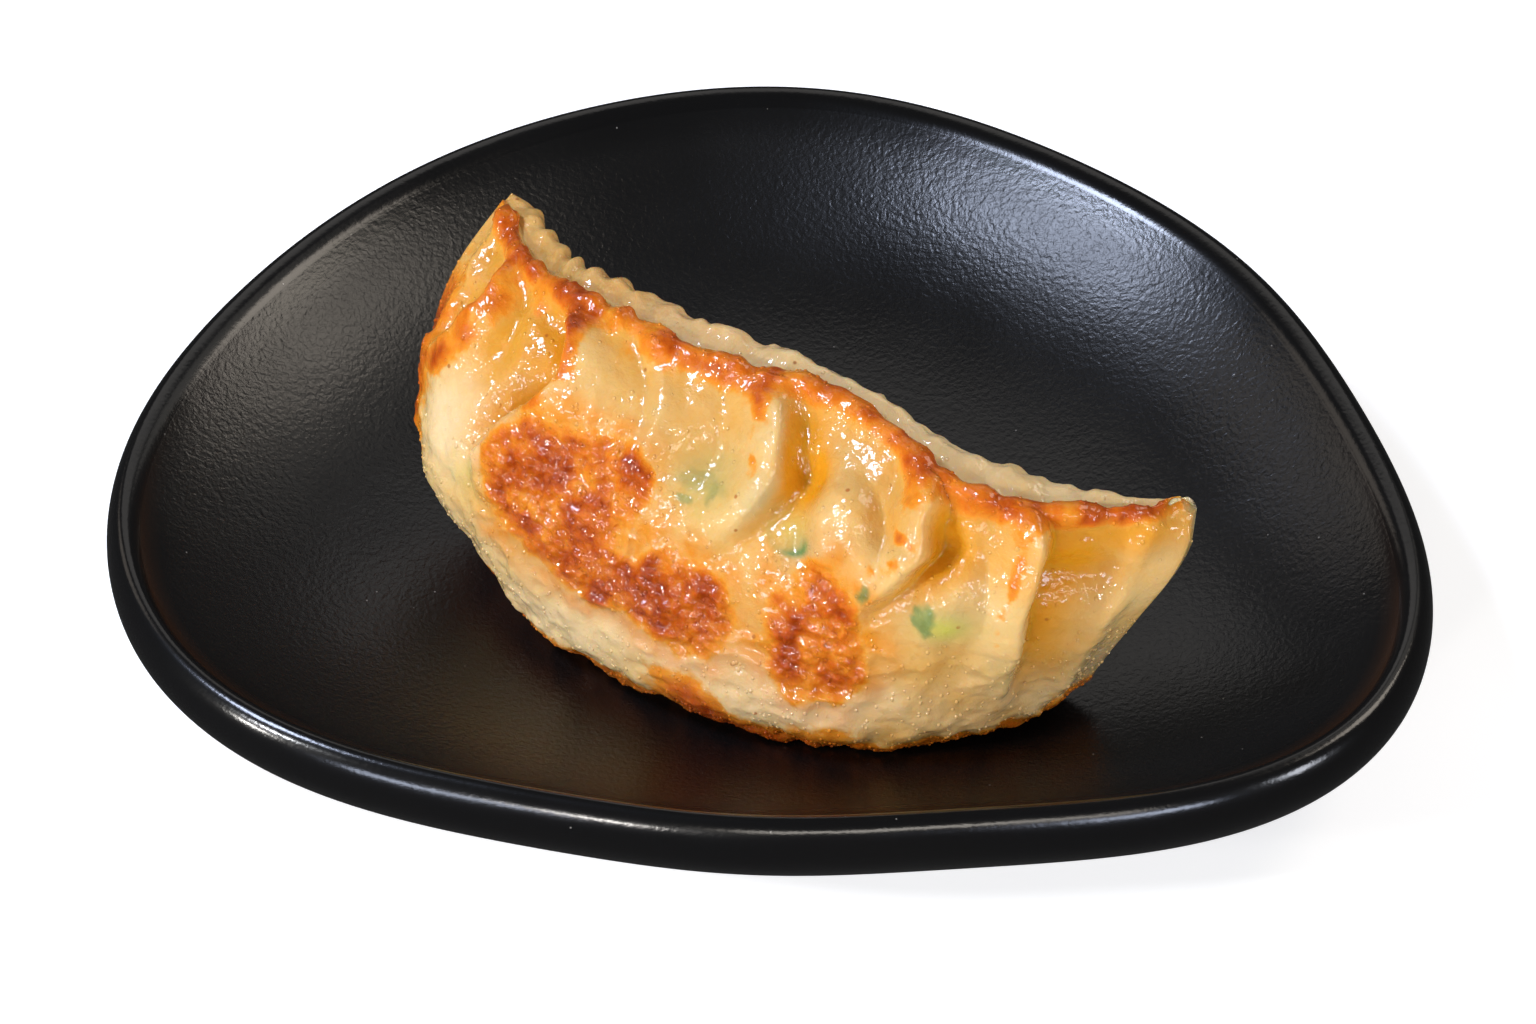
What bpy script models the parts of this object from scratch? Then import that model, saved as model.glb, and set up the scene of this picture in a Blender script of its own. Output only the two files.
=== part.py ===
"""One fried mandu on its small black stoneware plate.

The plate is a pebble-shaped coupe dish: a soft, rounded outline, a floor that curves up
to a full-round lip, and a ring foot.  The mandu is a pleated half-moon dumpling that
stands on its browned base, with its pleated side towards -Y and its crimped seam folded
back.  Lengths are in metres, +Z is up, and the origin is on the table under the middle
of the plate's bounding box.
"""
from math import cos, pi, radians

import bmesh
import bpy
import numpy as np

MM = 0.001
GAP = 0.3 * MM                    # clearance between the mandu and the plate

# ---- plate: driving dimensions ------------------------------------------------------
RIM_RADIUS = 68.1 * MM            # mean radius of the outline
RIM_WAVES = (                     # (waves per turn, height, direction of a crest)
    (2, 6.20 * MM, radians(-8.6)),
    (3, 4.41 * MM, radians(-33.9)),
    (4, 0.44 * MM, radians(-35.3)),
    (5, 0.95 * MM, radians(-26.9)),
    (6, 0.75 * MM, radians(27.0)),
    (7, 0.20 * MM, radians(21.5)),
)
RIM_HEIGHT = 21.0 * MM            # table to the top of the lip
FLOOR_HEIGHT = 6.8 * MM           # table to the lowest point of the inside
LIP_WIDTH = 4.2 * MM
LIP_DROP = 1.5 * MM               # top of the lip down to its inner edge
BOWL_POWER = 4.0                  # how flat the floor stays before it turns up
WALL_TUCK = 17.0 * MM             # how far the outside draws in from the lip
WALL_FOOT = 3.0 * MM              # height at which it has done so
WALL_POWER = 2.46                 # how upright it stays before it turns under
FOOT_SCALE = 0.62                 # foot outline as a part of the rim outline
FOOT_WIDTH = 5.6 * MM
FOOT_EDGE = 0.5 * MM              # how far the foot's two sides slope
FOOT_RECESS = 1.2 * MM
PLATE_STEPS = 80                  # points round the outline

# ---- mandu: driving dimensions ------------------------------------------------------
MANDU_SPOT = (3.87 * MM, -18.3 * MM)   # point on the floor under the middle of the seam
MANDU_HEADING = radians(-33.7)           # direction of the seam, from left tip to right
BASE_LIFT = 3.2 * MM                     # how far both ends of the base curl up
SEAM_STEPS = 75
SIDE_STEPS = 20
END_CROWDING = 0.55               # how much closer the steps are at the two tips

# Knots of smooth curves.  The first number of a pair runs along the seam, 0 at the left
# tip and 1 at the right one; x runs along the seam and y from front to back.
SEAM_Y = ((0, 10.5), (0.04, 7.0), (0.10, 2.6), (0.17, 0.2), (0.26, -1.2), (0.4, -1.8),
          (0.5, 0.0), (0.58, 0.6), (0.66, -0.6), (0.74, -3.0), (0.82, -1.8), (0.88, 1.4),
          (0.94, 6.4), (1, 11.8))
SEAM_Z = ((0, 33.6), (0.25, 36.6), (0.5, 37.8), (0.75, 37.0), (0.9, 35.0), (1, 33.4))
BELLY_Y = ((0, -5), (0.04, -12.6), (0.08, -16.8), (0.15, -19.2), (0.3, -21.0), (0.45, -21.0),
           (0.6, -19.8), (0.7, -18.0), (0.8, -14.6), (0.88, -9.6), (0.94, -3.4), (1, 5.2))
BACK_Y = ((0, -4.4), (0.04, 1.5), (0.1, 6.5), (0.2, 11), (0.35, 14.5), (0.5, 15.5),
          (0.65, 15), (0.8, 12.6), (0.9, 9.6), (1, 6.0))
# The two ends: x at each part of the height.
LEFT_END = ((0, -40), (0.2, -44), (0.4, -47), (0.6, -49.2), (0.8, -49.2), (1, -47.8))
RIGHT_END = ((0, 34.5), (0.1, 35.5), (0.3, 37.8), (0.5, 40.2), (0.8, 43.4), (1, 43.6))
# The two sides: (way down the side, part of the half width, part of the height).
FRONT_SIDE = ((0, 0, 1.0), (0.16, 0.36, 0.90), (0.40, 0.74, 0.67), (0.62, 0.95, 0.42),
              (0.80, 1.0, 0.21), (0.92, 0.93, 0.07), (1, 0.76, 0.0))
BACK_SIDE = ((0, 0.24, 0.84), (0.22, 0.5, 0.73), (0.5, 0.88, 0.47), (0.74, 1.0, 0.22),
             (0.9, 0.95, 0.07), (1, 0.78, 0.0))
# The folded seam: (part of its width behind the crest, millimetres under the crest).
FLANGE = ((0.12, 0.9), (0.32, 1.5), (0.6, 1.1), (0.86, 1.2), (1.0, 2.0), (0.9, 3.1),
          (0.6, 3.8))
FLANGE_WIDTH = ((0, 0.8), (0.05, 3.6), (0.2, 6.6), (0.34, 6.8), (0.48, 4.6), (0.62, 6.0),
                (0.76, 7.4), (0.88, 6.2), (0.96, 3.0), (1, 0.8))
CRIMP_PITCH = 3.1 * MM
CRIMP_DEPTH = 0.35 * MM

# Pleats: (side its steep face looks to, height, way down where it dies out, the line it
# follows as pairs of way down and place along the seam).
PLEATS = (
    (-1, 1.5 * MM, 0.60, ((0, 0.055), (0.1, 0.092), (0.28, 0.078), (0.57, 0.02))),
    (-1, 2.3 * MM, 0.62, ((0, 0.232), (0.16, 0.258), (0.26, 0.256), (0.45, 0.205))),
    (-1, 0.7 * MM, 0.35, ((0, 0.345), (0.14, 0.395), (0.3, 0.43))),
    (+1, 2.4 * MM, 0.60, ((0, 0.515), (0.2, 0.560), (0.32, 0.560), (0.5, 0.545))),
    (+1, 2.7 * MM, 0.66, ((0, 0.735), (0.16, 0.766), (0.25, 0.768), (0.45, 0.75))),
    (+1, 3.0 * MM, 0.88, ((0, 0.852), (0.2, 0.878), (0.35, 0.888), (0.7, 0.925))),
)
PLEAT_STEP = 3.0 * MM             # width of a pleat's steep face
PLEAT_BACK = 5.0 * MM             # length of its gentle face
PLEAT_VALLEY = 0.45               # depth of the valley beside it, as a part of its height


def smooth_curve(place, knots):
    """Value at `place` of the smooth curve through the knots."""
    at, value = np.array(knots, dtype=float).T
    slope = np.gradient(value, at)
    place = np.clip(place, at[0], at[-1])
    i = np.clip(np.searchsorted(at, place, side="right") - 1, 0, len(at) - 2)
    span = at[i + 1] - at[i]
    t = (place - at[i]) / span
    rise = 3 * t**2 - 2 * t**3
    return (value[i] * (1 - rise) + value[i + 1] * rise
            + span * (slope[i] * (t**3 - 2 * t**2 + t) + slope[i + 1] * (t**3 - t**2)))


def ease(t):
    """0 below 0, 1 above 1, smooth between."""
    t = np.clip(t, 0, 1)
    return t * t * (3 - 2 * t)


def material(name, colour, roughness):
    mat = bpy.data.materials.new(name)
    mat.use_nodes = True
    bsdf = mat.node_tree.nodes["Principled BSDF"]
    bsdf.inputs["Base Color"].default_value = (*colour, 1)
    bsdf.inputs["Roughness"].default_value = roughness
    bsdf.inputs["Metallic"].default_value = 0
    return mat


def lofted(name, rings, mat, first_centre=None, last_centre=None):
    """Closed skin over rings of equal length, capped by a face or a fan to a centre."""
    bm = bmesh.new()
    rows = [[bm.verts.new(point) for point in ring] for ring in rings]
    count = len(rows[0])
    for lower, upper in zip(rows, rows[1:]):
        for i in range(count):
            j = (i + 1) % count
            bm.faces.new((lower[i], lower[j], upper[j], upper[i]))
    for row, centre in ((rows[0], first_centre), (rows[-1], last_centre)):
        if centre is None:
            bm.faces.new(row)
            continue
        hub = bm.verts.new(centre)
        for i in range(count):
            bm.faces.new((hub, row[i], row[(i + 1) % count]))
    bmesh.ops.triangulate(bm, faces=[f for f in bm.faces if len(f.verts) > 3])
    bmesh.ops.recalc_face_normals(bm, faces=bm.faces)
    mesh = bpy.data.meshes.new(name)
    bm.to_mesh(mesh)
    bm.free()
    mesh.shade_smooth()
    mesh.materials.append(mat)
    obj = bpy.data.objects.new(name, mesh)
    bpy.context.scene.collection.objects.link(obj)
    return obj


# ---- plate ----------------------------------------------------------------------------
def rim_radius(angle):
    return RIM_RADIUS + sum(h * np.cos(k * (angle - crest)) for k, h, crest in RIM_WAVES)


def rim_outline(steps):
    """Points of the rim with the middle of their box at the origin, and their normals."""
    angle = np.linspace(0, 2 * pi, steps, endpoint=False)
    around = np.stack([np.cos(angle), np.sin(angle)], -1) * rim_radius(angle)[:, None]
    around -= (around.max(0) + around.min(0)) / 2
    tangent = np.roll(around, -1, 0) - np.roll(around, 1, 0)
    tangent /= np.linalg.norm(tangent, axis=1, keepdims=True)
    return around, np.stack([tangent[:, 1], -tangent[:, 0]], -1)


def bowl_height(reach):
    """Height of the inside; reach is 0 in the middle and 1 at the lip's inner edge."""
    depth = RIM_HEIGHT - LIP_DROP - FLOOR_HEIGHT
    return FLOOR_HEIGHT + depth * reach**BOWL_POWER


def build_plate():
    outline, normal = rim_outline(PLATE_STEPS)

    def ring(inset, height, scale=1.0):
        flat = outline * scale - normal * inset
        return np.column_stack([flat, np.full(len(flat), height)])

    inside = [ring(LIP_WIDTH * r, bowl_height(r), r) for r in (0.3, 0.5, 0.65, 0.77, 0.87, 0.94, 1)]
    wall_top = RIM_HEIGHT - LIP_DROP
    lip = [ring(LIP_WIDTH * (1 + cos(a)) / 2, RIM_HEIGHT - LIP_DROP * (1 - np.sin(a)))
           for a in np.linspace(0, pi, 8)[1:]]
    outside = [ring(WALL_TUCK * drop**WALL_POWER, wall_top + (WALL_FOOT - wall_top) * drop)
               for drop in (0.2, 0.38, 0.54, 0.7, 0.85, 1.0)]
    foot = [ring(inset, height, FOOT_SCALE) for inset, height in (
        (0, FOOT_RECESS), (FOOT_EDGE, 0), (FOOT_WIDTH - FOOT_EDGE, 0), (FOOT_WIDTH, FOOT_RECESS))]
    stone = material("black satin glaze", (0.012, 0.012, 0.013), 0.42)
    lofted("plate", inside + lip + outside + foot, stone,
           first_centre=(0, 0, FLOOR_HEIGHT), last_centre=(0, 0, FOOT_RECESS))


# ---- mandu ----------------------------------------------------------------------------
def along(place, knots):
    return smooth_curve(place, knots) * MM


def side_shape(way, knots):
    """Part of the half width and part of the height, at a way down a side."""
    at, width, height = zip(*knots)
    return smooth_curve(way, tuple(zip(at, width))), smooth_curve(way, tuple(zip(at, height)))


def between_ends(place, height):
    """x at a place along the seam, for a part of the height."""
    left, right = along(height, LEFT_END), along(height, RIGHT_END)
    return left + (right - left) * place


def pleat_relief(place, way):
    """How far the pleats stand out of the front side."""
    length = (RIGHT_END[-1][1] - LEFT_END[-1][1]) * MM
    relief = np.zeros(np.broadcast(place, way).shape)
    for steep_side, height, end, path in PLEATS:
        line = smooth_curve(way, path)
        beside = steep_side * (place - line) * length
        ridge = np.exp(-(np.minimum(beside, 0) / PLEAT_BACK) ** 2)
        step = ease(beside / PLEAT_STEP)
        valley = PLEAT_VALLEY * np.exp(-np.maximum(beside - PLEAT_STEP, 0) / PLEAT_BACK)
        fade = ease(way / 0.08) * (1 - ease((way - 0.35 * end) / (0.65 * end)))
        relief += height * fade * (ridge * (1 - step) - valley * step)
    return relief


def front_side(place):
    """Front of the mandu at each place along the seam: crest first, base edge last."""
    way, place = np.meshgrid(np.linspace(0, 1, SIDE_STEPS), place)
    width, height = side_shape(way, FRONT_SIDE)
    seam_y = along(place, SEAM_Y)
    x = between_ends(place, height)
    y = seam_y + (along(place, BELLY_Y) - seam_y) * width
    z = height * along(place, SEAM_Z)
    skin = np.stack([x, y, z], -1)
    normal = np.cross(np.gradient(skin, axis=1), np.gradient(skin, axis=0))
    normal /= np.linalg.norm(normal, axis=-1, keepdims=True) + 1e-9
    ends = ease(np.minimum(place, 1 - place) / 0.04)[..., None]
    return skin + normal * (pleat_relief(place, way)[..., None] * ends)


def back_side(place):
    """Back of the mandu at each place along the seam: neck first, base edge last."""
    way, place = np.meshgrid(np.linspace(0, 1, SIDE_STEPS // 2), place)
    width, height = side_shape(way, BACK_SIDE)
    seam_y = along(place, SEAM_Y)
    y = seam_y + (along(place, BACK_Y) - seam_y) * width
    return np.stack([between_ends(place, height), y, height * along(place, SEAM_Z)], -1)


def flange(place):
    """The folded, crimped seam behind the crest, from the crest round to its underside."""
    back, drop = np.array(FLANGE).T
    place = place[:, None]
    crimp = 1 + np.cos(2 * pi * between_ends(place, 1.0) / CRIMP_PITCH)
    tips = ease(np.minimum(place, 1 - place) / 0.06)
    width = along(place, FLANGE_WIDTH) - CRIMP_DEPTH * crimp * tips
    y = along(place, SEAM_Y) + width * back
    z = along(place, SEAM_Z) - drop * MM * (0.35 + 0.65 * tips)
    return np.stack([np.broadcast_to(between_ends(place, 1.0), y.shape), y, z], -1)


def set_on_plate(points):
    """Turn the mandu to its heading and bed its base on the curved floor."""
    x, y, z = np.moveaxis(points, -1, 0)
    turn_x, turn_y = np.cos(MANDU_HEADING), np.sin(MANDU_HEADING)
    world_x = MANDU_SPOT[0] + x * turn_x - y * turn_y
    world_y = MANDU_SPOT[1] + x * turn_y + y * turn_x
    outline, normal = rim_outline(360)
    inner = outline - normal * LIP_WIDTH
    turn = np.arctan2(inner[:, 1], inner[:, 0])
    order = np.argsort(turn)
    edge = np.interp(np.arctan2(world_y, world_x), turn[order],
                     np.hypot(inner[:, 0], inner[:, 1])[order], period=2 * pi)
    floor = bowl_height(np.hypot(world_x, world_y) / edge)
    crest = smooth_curve(0.5, SEAM_Z) * MM
    bedded = (1 - np.clip(z / crest, 0, 1)) ** 2
    lifted = FLOOR_HEIGHT + (floor - FLOOR_HEIGHT) * bedded + GAP + z
    return np.stack([world_x, world_y, lifted], -1)


def build_mandu():
    even = np.linspace(0, 1, SEAM_STEPS)
    place = even - END_CROWDING * np.sin(2 * pi * even) / (2 * pi)
    front = front_side(place)
    back = back_side(place)
    base = np.stack([front[:, -1] + (back[:, -1] - front[:, -1]) * t
                     for t in (0.2, 0.4, 0.6, 0.8)], 1)
    rings = np.concatenate([front, base, back[:, ::-1], flange(place)[:, ::-1]], 1)
    curl = BASE_LIFT * np.abs(2 * place - 1) ** 6
    crest = along(place, SEAM_Z)
    rings[..., 2] += curl[:, None] * np.clip(1 - rings[..., 2] / crest[:, None], 0, 1)
    dough = material("fried dough", (0.72, 0.42, 0.16), 0.35)
    lofted("mandu", set_on_plate(rings), dough)


def main():
    for obj in list(bpy.data.objects):
        bpy.data.objects.remove(obj)
    build_plate()
    build_mandu()


main()
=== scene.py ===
"""Looks of one fried mandu on its small black stoneware plate.

The plate and the mandu are modelled afresh, finely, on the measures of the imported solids:
the dish gets its round lip and wrinkled glaze, the mandu its pleats, crimped seam, fried
crust, blisters and oil.  Lengths of both are millimetres until a mesh is made; the floor,
the lights and the camera's distance are in metres.
"""
from collections import namedtuple
from itertools import product
from math import cos, pi, radians, sin

import bmesh
import bpy
import numpy as np
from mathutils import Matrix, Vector


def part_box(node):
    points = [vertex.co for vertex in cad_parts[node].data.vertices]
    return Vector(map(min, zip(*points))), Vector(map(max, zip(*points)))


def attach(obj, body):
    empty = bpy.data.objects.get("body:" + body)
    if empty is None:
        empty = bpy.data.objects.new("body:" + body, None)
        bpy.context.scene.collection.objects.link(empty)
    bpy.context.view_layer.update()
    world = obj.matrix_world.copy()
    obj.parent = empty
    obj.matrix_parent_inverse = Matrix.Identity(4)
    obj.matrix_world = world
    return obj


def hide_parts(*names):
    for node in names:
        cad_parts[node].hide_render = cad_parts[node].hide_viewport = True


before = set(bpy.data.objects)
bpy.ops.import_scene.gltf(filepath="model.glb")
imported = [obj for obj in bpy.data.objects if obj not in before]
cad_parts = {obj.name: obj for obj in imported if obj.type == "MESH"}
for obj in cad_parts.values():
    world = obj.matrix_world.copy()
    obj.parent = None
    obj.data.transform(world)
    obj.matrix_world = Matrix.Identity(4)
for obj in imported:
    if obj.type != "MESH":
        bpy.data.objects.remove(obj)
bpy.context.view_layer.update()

MM = 0.001

# ---- plate: measures of the solid ----------------------------------------------------
RIM_RADIUS = 68.1
RIM_WAVES = (                     # (waves per turn, height, direction of a crest)
    (2, 6.20, radians(-8.6)), (3, 4.41, radians(-33.9)), (4, 0.44, radians(-35.3)),
    (5, 0.95, radians(-26.9)), (6, 0.75, radians(27.0)), (7, 0.20, radians(21.5)),
)
RIM_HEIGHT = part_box("plate")[1][2] / MM
FLOOR_HEIGHT = 6.8
LIP_WIDTH = 4.2
LIP_DROP = 1.5
BOWL_POWER = 4.0
WALL_TUCK = 17.0
WALL_FOOT = 3.0
WALL_POWER = 2.46
FOOT_SCALE = 0.62
FOOT_WIDTH = 5.6
FOOT_EDGE = 0.5
FOOT_RECESS = 1.2
GAP = 0.3

# ---- mandu: measures of the solid ----------------------------------------------------
MANDU_SPOT = (3.87, -18.3)
MANDU_HEADING = radians(-33.7)
BASE_LIFT = 3.2
SEAM_Y = ((0, 10.5), (0.04, 7.0), (0.10, 2.6), (0.17, 0.2), (0.26, -1.2), (0.4, -1.8),
          (0.5, 0.0), (0.58, 0.6), (0.66, -0.6), (0.74, -3.0), (0.82, -1.8), (0.88, 1.4),
          (0.94, 6.4), (1, 11.8))
SEAM_Z = ((0, 33.6), (0.25, 36.6), (0.5, 37.8), (0.75, 37.0), (0.9, 35.0), (1, 33.4))
BELLY_Y = ((0, -5), (0.04, -12.6), (0.08, -16.8), (0.15, -19.2), (0.3, -21.0), (0.45, -21.0),
           (0.6, -19.8), (0.7, -18.0), (0.8, -14.6), (0.88, -9.6), (0.94, -3.4), (1, 5.2))
BACK_Y = ((0, -4.4), (0.04, 1.5), (0.1, 6.5), (0.2, 11), (0.35, 14.5), (0.5, 15.5),
          (0.65, 15), (0.8, 12.6), (0.9, 9.6), (1, 6.0))
LEFT_END = ((0, -40), (0.2, -44), (0.4, -47), (0.6, -49.2), (0.8, -49.2), (1, -47.8))
RIGHT_END = ((0, 34.5), (0.1, 35.5), (0.3, 37.8), (0.5, 40.2), (0.8, 43.4), (1, 43.6))
FRONT_SIDE = ((0, 0, 1.0), (0.16, 0.36, 0.90), (0.40, 0.74, 0.67), (0.62, 0.95, 0.42),
              (0.80, 1.0, 0.21), (0.92, 0.93, 0.07), (1, 0.76, 0.0))
BACK_SIDE = ((0, 0.24, 0.84), (0.22, 0.5, 0.73), (0.5, 0.88, 0.47), (0.74, 1.0, 0.22),
             (0.9, 0.95, 0.07), (1, 0.78, 0.0))
# The folded seam: (way round it, part of its width behind the crest, drop under the crest).
FLANGE = ((0, 0, 0), (0.1, 0.14, 0.8), (0.24, 0.32, 1.4), (0.42, 0.6, 1.1), (0.6, 0.86, 1.2),
          (0.72, 1.0, 2.0), (0.83, 0.9, 3.1), (0.92, 0.6, 3.8))
FLANGE_WIDTH = ((0, 2.0), (0.03, 4.2), (0.07, 5.0), (0.2, 6.2), (0.3, 6.2), (0.4, 6.4), (0.5, 5.2),
                (0.6, 4.6), (0.68, 5.2), (0.78, 7.4), (0.88, 5.6), (0.96, 3.0), (1, 0.8))
SEAM_LENGTH = RIGHT_END[-1][1] - LEFT_END[-1][1]
FRONT_LENGTH = 49.0               # crest to base edge, measured down the front

# ---- mandu: what is on its skin ------------------------------------------------------
# Places on the front are given as x (millimetres along the seam) and as the way down, which
# is 0 at the crest and 1 at the base edge.
Pleat = namedtuple("Pleat", "steep_side height step end path flank streak streak_back streak_end")
# A pleat is a fold of dough that stands out by `height`, with a steep face on one side of it:
# `steep_side` is -1 for its left and +1 for its right.  `step` is how wide the steep face is,
# `end` the way down where the fold runs out and `path` the steep edge as (way down, place
# along the seam).  `flank` is the width of the gentle side at the top and lower down.
# `streak` is how thick its browned line is, `streak_back` how far from the edge it runs, and
# `streak_end` the way down where it stops.
PLEATS = (
    Pleat(-1, 2.1, 1.3, 0.50,
          ((0, 0.068), (0.07, 0.088), (0.13, 0.093), (0.2, 0.082), (0.28, 0.060), (0.45, 0.012)),
          (5.0, 7.0), 1.9, 1.8, 0.66),
    Pleat(-1, 0.6, 1.4, 0.26,
          ((0, 0.146), (0.05, 0.150), (0.12, 0.163), (0.2, 0.175)),
          (3.0, 4.0), 0.8, 0.5, 0.15),
    Pleat(-1, 2.9, 1.5, 0.60,
          ((0, 0.200), (0.07, 0.226), (0.13, 0.247), (0.18, 0.254), (0.24, 0.249), (0.29, 0.230),
           (0.45, 0.190)),
          (9.0, 11.0), 1.0, 1.3, 0.40),
    Pleat(+1, 0.4, 2.4, 0.30,
          ((0, 0.352), (0.06, 0.368), (0.3, 0.410)),
          (3.5, 4.5), 0.5, 0.6, 0.10),
    Pleat(+1, 2.2, 2.6, 0.50,
          ((0, 0.506), (0.05, 0.520), (0.16, 0.548), (0.21, 0.556), (0.27, 0.555), (0.34, 0.544),
           (0.45, 0.524)),
          (6.8, 7.0), 0.9, 2.7, 0.42),
    Pleat(+1, 2.7, 1.6, 0.58,
          ((0, 0.722), (0.03, 0.737), (0.13, 0.760), (0.2, 0.767), (0.29, 0.757), (0.42, 0.735)),
          (5.0, 5.4), 1.2, 2.6, 0.42),
    Pleat(+1, 3.0, 1.6, 0.92,
          ((0, 0.846), (0.06, 0.860), (0.17, 0.876), (0.27, 0.884), (0.38, 0.892), (0.49, 0.900),
           (0.58, 0.908), (0.8, 0.925)),
          (3.9, 4.2), 0.55, 2.0, 0.62),
)
Pillow = namedtuple("Pillow", "x down wide tall lean height merge")
# Filling pushes the skin out in pillows between the pleats: its middle, half sizes, sideways
# lean, height, and how far down it starts to merge with the belly (millimetres).
PILLOWS = (
    Pillow(12.4, 13.6, 4.9, 7.0, 0.15, 2.0, 13.0),
    Pillow(25.6, 18.2, 3.3, 10.4, 0.0, 1.1, 19.0),
    Pillow(-13.0, 13.0, 8.5, 9.0, 0.0, 0.3, 12.0),
)
Spot = namedtuple("Spot", "x way spread strength")
# Soft round spots.  Their strength is a height in millimetres in DENTS, a part of 1 elsewhere.
DENTS = (
    Spot(-35, 0.36, 5.0, 0.8), Spot(-6.4, 0.22, 3.6, -1.9), Spot(36.5, 0.28, 5.0, -2.4),
    Spot(23.6, 0.20, 3.4, -1.7), Spot(5.6, 0.18, 2.2, -1.1), Spot(-43, 0.22, 3.5, -0.9),
    Spot(-28.5, 0.26, 3.0, -1.3), Spot(-31.5, 0.34, 3.0, -0.8), Spot(4.6, 0.24, 3.0, -0.5),
)
# Painted shade: spots of darker honey colour over the dents beside the pleats.
PAINTED_SHADE_SPOTS = (
    Spot(23.4, 0.20, 3.6, 0.6), Spot(5.6, 0.17, 2.8, 1.0), Spot(34.5, 0.24, 4.0, 0.8),
    Spot(-7.5, 0.21, 4.0, 0.4),
)
THIN_SPOTS = (
    Spot(-34, 0.22, 6, 0.6), Spot(9.9, 0.25, 6, -0.2), Spot(-37, 0.42, 7, -0.8),
    Spot(19.5, 0.18, 5, 0.6), Spot(37.0, 0.30, 6, 0.5), Spot(29.5, 0.30, 5, -0.3),
)
FILLING_SPOTS = (
    Spot(-5.5, 0.25, 4.2, 0.75), Spot(-10, 0.20, 4.5, 0.45), Spot(3.6, 0.27, 3.2, 0.7),
    Spot(8.4, 0.33, 2.8, 0.7), Spot(25.5, 0.40, 3.6, 0.7), Spot(-30, 0.26, 3.0, 0.35),
)
LIME_SPOTS = (
    Spot(25.6, 0.42, 2.2, 0.9), Spot(6.6, 0.31, 2.2, 0.35), Spot(-33, 0.52, 3, 0.3),
    Spot(-4.5, 0.28, 4, 0.25),
)
Patch = namedtuple("Patch", "x way wide tall lean")
# Fried patches as leaning ellipses: middle, half sizes and sideways lean.
CRUST_PATCHES = (
    Patch(-19.5, 0.45, 10.0, 9.0, 0.0), Patch(-25.5, 0.42, 5.0, 7.5, -0.2),
    Patch(-14.5, 0.36, 5.0, 6.0, 0.0), Patch(-14.5, 0.58, 7.0, 5.0, 0.0),
    Patch(-3.6, 0.58, 7.8, 6.4, 0.2), Patch(12.7, 0.555, 6.3, 9.8, 0.05),
)
Green = namedtuple("Green", "x way wide tall strength")
GREENS = (
    Green(-5.0, 0.28, 3.4, 1.6, 0.25), Green(-6.2, 0.33, 1.5, 0.6, 0.55),
    Green(-3.2, 0.30, 0.7, 1.5, 0.45), Green(16.9, 0.37, 0.7, 1.8, 0.8),
    Green(23.6, 0.405, 1.3, 2.7, 0.8), Green(-32.6, 0.49, 1.6, 2.0, 0.2),
)
GREEN_RING = Patch(6.6, 0.325, 2.6, 1.9, 0.0)    # a slice of green onion, seen as an arc
# How strongly the crest is browned, and how far down the front (millimetres), along the seam.
CREST_BROWN = ((0, 0.55), (0.06, 0.95), (0.15, 0.85), (0.22, 0.95), (0.28, 0.85), (0.34, 0.72),
               (0.41, 0.78), (0.48, 1.0), (0.53, 0.9), (0.59, 0.68), (0.66, 0.72), (0.72, 0.95),
               (0.78, 0.78), (0.85, 0.95), (0.92, 1.0), (0.97, 0.9), (1, 0.6))
CREST_REACH = ((0, 1.6), (0.07, 2.4), (0.15, 1.5), (0.24, 3.0), (0.3, 3.4), (0.4, 2.4),
               (0.47, 3.4), (0.52, 3.0), (0.59, 1.9), (0.66, 1.8), (0.72, 3.0), (0.8, 2.3),
               (0.86, 2.6), (0.92, 2.0), (1, 1.5))
SKIN_TRANSLUCENCE = 0.42
BLISTERS = (1.1, 0.10, 0.27, 5)   # for each square millimetre, smallest, largest, seed
DARKEST = 0.88                    # the brownest that any of the skin gets

# ---- colours, as linear red, green and blue ------------------------------------------
GLAZE_BLACKS = ((0.0030, 0.0030, 0.0032), (0.0048, 0.0045, 0.0043))
MANDU_REFLECTION_BROWN = (0.030, 0.013, 0.006)              # a painted reflection of the fried mandu, along the inner edge of the front lip
GLAZE_SPECK = (0.30, 0.28, 0.25)
BARE_CLAY = ((0.050, 0.040, 0.034), (0.085, 0.068, 0.056))
PALE_DOUGH = ((0.67, 0.395, 0.115), (0.74, 0.53, 0.235))
GOLDEN_DOUGH = ((0.64, 0.262, 0.018), (0.68, 0.330, 0.044))
FRECKLE = (0.66, 0.27, 0.03)
HALO_GOLD = (0.69, 0.24, 0.016)
MILKY_DOUGH = (0.84, 0.68, 0.43)
GREY_FILLING = (0.44, 0.35, 0.17)
# Painted shade: the darker honey of the valleys beside the pleats, the dents and the skin under
# the crest.
PAINTED_SHADE_HONEY = (0.66, 0.27, 0.010)
LIME = (0.55, 0.50, 0.085)
HERB_GREENS = ((0.045, 0.12, 0.035), (0.22, 0.32, 0.10))
PAN_DOT = (0.36, 0.10, 0.015)
# The crust, from barely tanned to darkest, as (how brown, colour).
TOAST = (
    (0.10, (0.72, 0.35, 0.06)), (0.30, (0.72, 0.25, 0.018)), (0.52, (0.64, 0.165, 0.009)),
    (0.74, (0.50, 0.092, 0.005)), (0.90, (0.34, 0.048, 0.003)), (1.0, (0.20, 0.022, 0.002)),
)

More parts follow.
